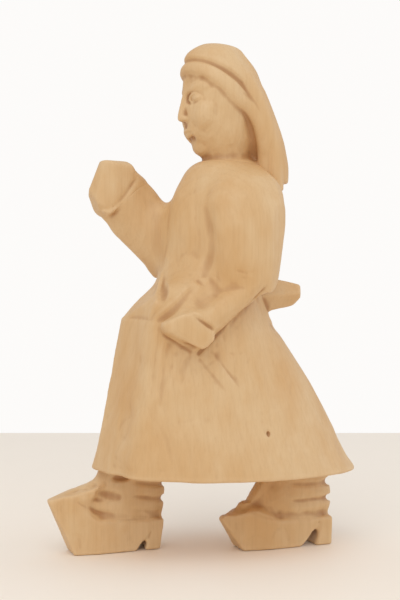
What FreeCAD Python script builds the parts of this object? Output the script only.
"""A pegged wooden figurine: a striding woman in headscarf, apron and clogs who sows seed.

Millimetres.  +Z is up, the figure faces -Y, its left hand is on +X, and the origin lies on
the table under the middle of the figure.  Every piece is a whittled block of pale wood.
Neighbours are scribed to each other, glued and held by wooden dowels.
"""
import FreeCAD, Part
import os
import Sketcher
from FreeCAD import Placement, Rotation, Vector

LARGE = 200.0            # reach of a knife cut or of a saw, past every piece
STAND_Y = -1.3           # brings the middle of the bounding box over the origin
OUT = "parts"

doc = FreeCAD.newDocument("figurine")
sheet = doc.addObject("Spreadsheet::Sheet", "Dimensions")
cells = {}


# ---------------------------------------------------------------- parametric helpers

def cell(alias, value):
    """Puts one driving dimension in the sheet and returns the expression that reads it."""
    if alias not in cells:
        place = "A%d" % (len(cells) + 1)
        sheet.set(place, repr(float(value)))
        sheet.setAlias(place, alias)
        cells[alias] = float(value)
        sheet.recompute()
    return "Dimensions." + alias


def place(item, name, at, rotation=None):
    """Turns an object and binds the point it stands at to three cells."""
    item.Placement = Placement(Vector(*at), rotation or Rotation())
    for axis, value in zip("xyz", at):
        shift = " + " + cell("stand_y", STAND_Y) if axis == "y" else ""
        item.setExpression("Placement.Base." + axis, cell(name + "_" + axis, value) + shift)
    return item


def towards(normal):
    """The rotation that carries +Z to a direction."""
    return Rotation(Vector(0, 0, 1), Vector(*normal))


def ellipse(name, at, half_x, half_y, lean=0.0):
    """A cross-section: an ellipse that is level, or leans by turning about X."""
    deep = half_y >= half_x
    item = doc.addObject("Part::Ellipse", name)
    item.MajorRadius = LARGE
    across = cell(name + "_half_x", half_x)
    along = cell(name + "_half_y", half_y)
    item.setExpression("MajorRadius", along if deep else across)
    item.setExpression("MinorRadius", across if deep else along)
    turn = Rotation(Vector(1, 0, 0), lean)
    if deep:
        turn = turn * Rotation(Vector(0, 0, 1), 90)
    return place(item, name, at, turn)


def loft(name, sections, ruled=False):
    """A solid through cross-sections."""
    item = doc.addObject("Part::Loft", name)
    item.Sections = sections
    item.Solid = True
    item.Ruled = ruled
    return item


def ellipsoid(name, at, half_x, half_y, half_z):
    item = doc.addObject("Part::Ellipsoid", name)
    item.Angle1 = -90
    item.setExpression("Radius1", cell(name + "_half_z", half_z))
    item.setExpression("Radius2", cell(name + "_half_x", half_x))
    item.setExpression("Radius3", cell(name + "_half_y", half_y))
    return place(item, name, at)


def fuse(name, shapes):
    item = doc.addObject("Part::MultiFuse", name)
    item.Shapes = shapes
    item.Refine = False
    return item


def common(name, shapes):
    item = doc.addObject("Part::MultiCommon", name)
    item.Shapes = shapes
    item.Refine = False
    return item


def cut(name, base, tool):
    item = doc.addObject("Part::Cut", name)
    item.Base = base
    item.Tool = tool
    item.Refine = False
    return item


def less(name, base, tools):
    """A piece scribed to its neighbours: everything of base that no tool takes."""
    return cut(name, base, tools[0] if len(tools) == 1 else fuse(name + "_tools", tools))


def knife(name, at, normal):
    """Everything on one side of a flat cut: the plane goes through a point, and the waste lies along normal."""
    item = doc.addObject("Part::Cylinder", name)
    item.Radius = LARGE
    item.Height = LARGE
    return place(item, name, at, towards(normal))


def whittle(name, base, strokes):
    """Takes flat facets off a piece.  Each stroke is a point on the cut and the direction of its waste."""
    return less(name, base, [knife(name + "_" + s, at, normal) for s, (at, normal) in strokes.items()])


def outline(body, name, plane, points):
    """A closed sketch of straight lines on one of a body's origin planes, each corner bound to two cells."""
    sketch = body.newObject("Sketcher::SketchObject", name)
    side = [f for f in body.Origin.OriginFeatures if f.Role == plane][0]
    sketch.AttachmentSupport = [(side, "")]
    sketch.MapMode = "FlatFace"
    corners = [Vector(a, b, 0) for a, b in points]
    for i, corner in enumerate(corners):
        sketch.addGeometry(Part.LineSegment(corner, corners[(i + 1) % len(corners)]))
    for i in range(len(corners)):
        sketch.addConstraint(Sketcher.Constraint("Coincident", i, 2, (i + 1) % len(corners), 1))
    for i, point in enumerate(points):
        for kind, value, tag in (("DistanceX", point[0], "a"), ("DistanceY", point[1], "b")):
            at = sketch.addConstraint(Sketcher.Constraint(kind, -1, 1, i, 1, value))
            sketch.setExpression("Constraints[%d]" % at, cell("%s_%s%d" % (name, tag, i + 1), value))
    return sketch


def sawn(name, plane, points, depth):
    """A board sawn to an outline, as thick as depth to each side of the origin plane."""
    body = doc.addObject("PartDesign::Body", name)
    pad = body.newObject("PartDesign::Pad", name + "_pad")
    pad.Profile = outline(body, name + "_outline", plane, points)
    pad.Midplane = True
    pad.setExpression("Length", "2 * " + cell(name + "_depth", depth))
    body.Tip = pad
    body.setExpression("Placement.Base.y", cell("stand_y", STAND_Y))
    return body


def limb(name, sections):
    """A round limb through named cross-sections: centre, half width, half depth, lean about X."""
    return loft(name, [ellipse(name + "_" + s, *v) for s, v in sections.items()])


def dowel(name, foot, direction, across, length):
    """A round wooden pin that starts at its foot and runs in a direction."""
    item = doc.addObject("Part::Cylinder", name)
    item.setExpression("Radius", cell(name + "_across", across) + " / 2")
    item.setExpression("Height", cell(name + "_length", length))
    return place(item, name, foot, towards(direction))


# ---------------------------------------------------------------- seams between the pieces

HEM = 25.0               # underside of the skirt, where the legs go in
WAIST = 84.0             # skirt below, jacket above
NECK = 121.5             # jacket below, head above


# ---------------------------------------------------------------- the pieces before scribing

def skirt_rough():
    """The flared skirt with its apron: an oval block, flat in front, with a sloping belly."""
    block = limb("skirt_block", {
        "hem": ((0.0, 6.8, HEM - 2.0), 26.5, 44.3),
        "knee": ((0.2, 3.3, 44.0), 22.5, 35.8),
        "thigh": ((0.5, -0.7, 63.0), 19.5, 28.8),
        "hip": ((0.8, -2.5, 72.5), 18.3, 24.6),
        "waist": ((1.0, -3.0, WAIST), 16.8, 20.8),
    })
    return whittle("skirt_rough", block, {
        "hem": ((0.0, 6.0, HEM), (0.0, -0.018, -1.0)),
        "belly": ((0.0, -27.0, 72.5), (0.04, -0.72, 0.69)),
        "belly_right": ((-5.0, -15.6, WAIST), (-0.52, -0.62, 0.59)),
        "apron": ((-9.0, -24.7, 72.5), (0.20, -0.97, 0.16)),
    })


def torso_rough():
    """The jacket from waist to neck, round in the shoulders."""
    return limb("torso_rough", {
        "waist": ((1.0, 2.6, WAIST), 15.0, 18.4),
        "ribs": ((1.0, 6.2, 95.0), 15.5, 17.9),
        "chest": ((1.0, 7.6, 105.0), 15.8, 18.4),
        "armpit": ((1.0, 8.6, 113.0), 15.2, 17.2),
        "shoulder": ((1.0, 8.8, 118.5), 12.6, 13.8),
        "collar": ((1.0, 8.7, NECK), 8.4, 8.8),
    })


def head_rough():
    """The head in its headscarf, and the tail of the scarf that lies down the nape."""
    skull = limb("skull", {
        "neck": ((1.0, 8.6, NECK), 8.2, 8.6),
        "jaw": ((1.0, 7.2, 125.6), 8.8, 10.4),
        "mouth": ((1.0, 6.2, 130.0), 10.2, 12.2),
        "cheek": ((1.0, 5.4, 136.0), 11.2, 12.9),
        "brow": ((1.0, 5.8, 144.0), 12.0, 13.4),
        "scarf": ((1.0, 5.2, 150.6), 11.0, 12.2),
        "crown": ((1.0, 4.2, 155.8), 8.2, 9.2),
        "top": ((1.0, 3.6, 158.8), 3.4, 4.0),
    })
    tail = limb("scarf_tail", {
        "tip": ((1.0, 23.0, 115.5), 9.0, 4.6),
        "nape": ((1.0, 21.0, 122.0), 10.6, 6.6),
        "back": ((1.0, 18.0, 130.0), 11.6, 7.6),
        "bulge": ((1.0, 14.5, 138.0), 12.0, 7.9),
        "cap": ((1.0, 10.9, 146.0), 11.4, 8.0),
        "end": ((1.0, 7.6, 152.5), 9.0, 7.0),
    })
    return fuse("head_rough", [skull, tail])


def left_arm_rough():
    """The lowered arm: a full sleeve, and a forearm that runs forward and down to the cuff."""
    sleeve = limb("left_sleeve", {
        "elbow": ((17.0, 9.6, 80.5), 5.4, 6.2),
        "low": ((17.4, 8.7, 86.5), 7.0, 9.8),
        "middle": ((17.0, 8.3, 98.0), 7.6, 12.0),
        "high": ((16.0, 8.8, 108.0), 7.4, 12.4),
        "shoulder": ((13.4, 9.4, 115.0), 6.2, 10.6),
        "top": ((10.5, 9.2, 119.0), 4.0, 6.6),
    })
    forearm = limb("left_forearm", {
        "elbow": ((18.4, 9.6, 84.4), 5.6, 4.9, 129.3),
        "middle": ((18.9, 1.6, 77.8), 5.4, 4.7, 129.3),
        "cuff": ((19.4, -7.0, 70.9), 5.2, 4.6, 129.3),
    })
    return fuse("left_arm_rough", [sleeve, forearm])


def right_arm_rough():
    """The raised arm: a sleeve beside the chest, and a forearm that points forward and up."""
    sleeve = limb("right_sleeve", {
        "elbow": ((-14.6, -3.0, 83.6), 4.6, 5.2),
        "low": ((-15.2, -0.8, 89.0), 6.4, 8.0),
        "middle": ((-15.2, 4.0, 98.0), 7.2, 10.4),
        "high": ((-14.2, 7.4, 108.0), 7.2, 10.8),
        "shoulder": ((-11.6, 8.7, 115.0), 6.0, 8.8),
        "top": ((-8.8, 8.9, 119.0), 3.8, 5.4),
    })
    forearm = limb("right_forearm", {
        "elbow": ((-14.6, -4.6, 90.8), 6.4, 8.4, 40.7),
        "middle": ((-14.5, -13.4, 101.0), 6.5, 8.3, 40.7),
        "cuff": ((-14.4, -21.9, 110.8), 6.3, 8.2, 40.7),
    })
    return fuse("right_arm_rough", [sleeve, forearm])


def left_hand_rough():
    """The hand that holds the gathered apron against the hip."""
    side = sawn("left_hand_side", "YZ_Plane",
                [(-3.4, 66.5), (-8.4, 63.5), (-19.0, 69.0), (-19.8, 71.8), (-15.0, 74.4), (-10.6, 75.3)], LARGE)
    plan = sawn("left_hand_plan", "XY_Plane",
                [(14.0, -3.0), (14.0, -15.0), (15.6, -19.0), (19.4, -20.2), (22.8, -17.4), (24.4, -12.0), (24.6, -3.0)],
                LARGE)
    return common("left_hand_rough", [side, plan])


def right_hand_rough():
    """The raised fist, a six-sided block that overhangs its cuff."""
    side = sawn("right_hand_side", "YZ_Plane",
                [(-27.6, 105.0), (-30.4, 107.0), (-33.2, 113.4), (-29.6, 122.9), (-22.8, 123.9), (-15.6, 117.2)],
                LARGE)
    plan = sawn("right_hand_plan", "XY_Plane",
                [(-8.2, -14.0), (-8.0, -26.0), (-10.0, -31.6), (-13.4, -33.4),
                 (-17.2, -32.4), (-20.4, -27.0), (-20.8, -14.0)], LARGE)
    return common("right_hand_rough", [side, plan])


def bow_rough():
    """The knot of the apron strings at the small of the back."""
    side = sawn("bow_side", "YZ_Plane",
                [(10.0, 77.0), (20.4, 74.8), (29.4, 76.9), (33.0, 81.0), (31.4, 83.7), (20.0, 86.2), (10.0, 86.0)],
                LARGE)
    plan = sawn("bow_plan", "XY_Plane",
                [(-7.4, 10.0), (-7.4, 23.0), (-4.6, 31.0), (1.0, 33.6), (6.6, 31.0), (9.4, 23.0), (9.4, 10.0)], LARGE)
    return common("bow_rough", [side, plan])


def front_clog_rough():
    """The clog of the striding right foot, with a high pointed toe and a small heel."""
    side = sawn("front_clog_side", "YZ_Plane",
                [(-39.6, 0.0), (-19.8, 0.0), (-15.4, 6.2), (-17.0, 0.0), (-11.8, 0.0), (-10.4, 9.8),
                 (-31.4, 10.6), (-35.8, 14.6), (-31.4, 21.2), (-47.2, 16.9), (-45.0, 12.0)], LARGE)
    plan = sawn("front_clog_plan", "XY_Plane",
                [(-9.0, -48.0), (-5.6, -40.0), (-4.7, -32.0), (-5.2, -21.0), (-5.6, -10.0),
                 (-15.4, -10.0), (-15.9, -21.0), (-16.3, -32.0), (-15.2, -40.0), (-11.6, -48.0)], LARGE)
    return common("front_clog_rough", [side, plan])


def rear_clog_rough():
    """The clog of the trailing left foot, flatter than the other."""
    side = sawn("rear_clog_side", "YZ_Plane",
                [(11.6, 0.0), (31.2, 0.0), (38.4, 7.4), (36.0, 0.0), (42.2, 0.0), (42.6, 9.2),
                 (24.0, 9.4), (14.6, 13.2), (6.0, 11.2), (5.0, 9.4)], LARGE)
    plan = sawn("rear_clog_plan", "XY_Plane",
                [(3.2, 4.6), (6.6, 11.0), (7.8, 19.0), (7.3, 31.0), (6.8, 43.4),
                 (-2.8, 43.4), (-3.3, 31.0), (-3.8, 19.0), (-2.6, 11.0), (0.8, 4.6)], LARGE)
    return common("rear_clog_rough", [side, plan])


def front_leg_rough():
    """The right shin in a folded stocking, from the clog up to the hem."""
    return limb("front_leg_rough", {
        "seat": ((-10.5, -21.6, 8.6), 4.4, 10.6),
        "ankle": ((-10.5, -22.4, 11.0), 4.9, 12.4),
        "fold": ((-10.5, -21.8, 17.0), 5.4, 12.6),
        "top": ((-10.5, -20.0, HEM + 2.0), 5.2, 11.0),
    })


def rear_leg_rough():
    """The left shin in a folded stocking, leaning forward under the back of the skirt."""
    return limb("rear_leg_rough", {
        "seat": ((2.0, 30.0, 8.8), 4.4, 11.6),
        "ankle": ((2.0, 29.4, 11.0), 4.9, 13.8),
        "fold": ((2.0, 30.6, 17.0), 5.4, 13.0),
        "top": ((2.0, 31.6, HEM + 2.0), 5.2, 12.4),
    })


# ---------------------------------------------------------------- pins, then scribing and drilling

FORWARD_UP = (0.0, -0.652, 0.757)        # the way the raised forearm points
FORWARD_DOWN = (0.0, -0.774, -0.633)     # the way the lowered forearm points

pins = {
    "neck_dowel": dowel("neck_dowel", (1.0, 8.6, 110.0), (0, 0, 1), 6.0, 24.0),
    "waist_dowel": dowel("waist_dowel", (1.0, 2.0, 68.0), (0, 0, 1), 8.0, 32.0),
    "left_shoulder_dowel": dowel("left_shoulder_dowel", (6.0, 8.4, 104.0), (1, 0, 0), 4.0, 14.0),
    "right_shoulder_dowel": dowel("right_shoulder_dowel", (-4.0, 7.0, 104.0), (-1, 0, 0), 4.0, 14.0),
    "left_wrist_dowel": dowel("left_wrist_dowel", (19.4, -1.6, 75.3), FORWARD_DOWN, 3.0, 12.0),
    "right_wrist_dowel": dowel("right_wrist_dowel", (-14.4, -16.7, 104.8), FORWARD_UP, 4.0, 14.0),
    "bow_dowel": dowel("bow_dowel", (1.0, 12.0, 80.0), (0, 1, 0), 3.0, 14.0),
    "front_leg_dowel": dowel("front_leg_dowel", (-10.5, -21.0, 3.5), (0, 0, 1), 5.0, 33.0),
    "rear_leg_dowel": dowel("rear_leg_dowel", (2.0, 29.6, 3.5), (0, 0, 1), 5.0, 33.0),
}
skirt, torso, head = skirt_rough(), torso_rough(), head_rough()
left_arm, right_arm = left_arm_rough(), right_arm_rough()
front_clog, rear_clog = front_clog_rough(), rear_clog_rough()
seats = {
    "skirt": (skirt, [], ["waist_dowel", "bow_dowel", "front_leg_dowel", "rear_leg_dowel"]),
    "torso": (torso, [], ["waist_dowel", "neck_dowel", "left_shoulder_dowel", "right_shoulder_dowel"]),
    "head": (head, [torso], ["neck_dowel"]),
    "left_arm": (left_arm, [torso, skirt, head], ["left_shoulder_dowel", "left_wrist_dowel"]),
    "right_arm": (right_arm, [torso, skirt, head], ["right_shoulder_dowel", "right_wrist_dowel"]),
    "left_hand": (left_hand_rough(), [skirt], ["left_wrist_dowel"]),
    "right_hand": (right_hand_rough(), [right_arm], ["right_wrist_dowel"]),
    "apron_bow": (bow_rough(), [torso, skirt], ["bow_dowel"]),
    "front_clog": (front_clog, [], ["front_leg_dowel"]),
    "rear_clog": (rear_clog, [], ["rear_leg_dowel"]),
    "front_leg": (front_leg_rough(), [skirt, front_clog], ["front_leg_dowel"]),
    "rear_leg": (rear_leg_rough(), [skirt, rear_clog], ["rear_leg_dowel"]),
}
parts = dict(pins)
for label, (rough, neighbours, held) in seats.items():
    parts[label] = less(label, rough, neighbours + [pins[pin] for pin in held])


# ---------------------------------------------------------------- checks and files

def write_parts():
    """Checks every object of the document, then writes one STEP file for each piece."""
    doc.recompute()
    failed = [item.Name for item in doc.Objects if {"Invalid", "Error"} & set(item.State)]
    if failed:
        raise RuntimeError("failed objects: " + ", ".join(failed))
    for label, item in parts.items():
        if item.Shape.isNull() or not item.Shape.isValid() or len(item.Shape.Solids) != 1:
            raise RuntimeError("bad shape: %s, %d solids" % (label, len(item.Shape.Solids)))
    os.makedirs(OUT, exist_ok=True)
    for label, item in parts.items():
        item.Label = label
        item.Shape.exportStep(os.path.join(OUT, label + ".step"))


write_parts()
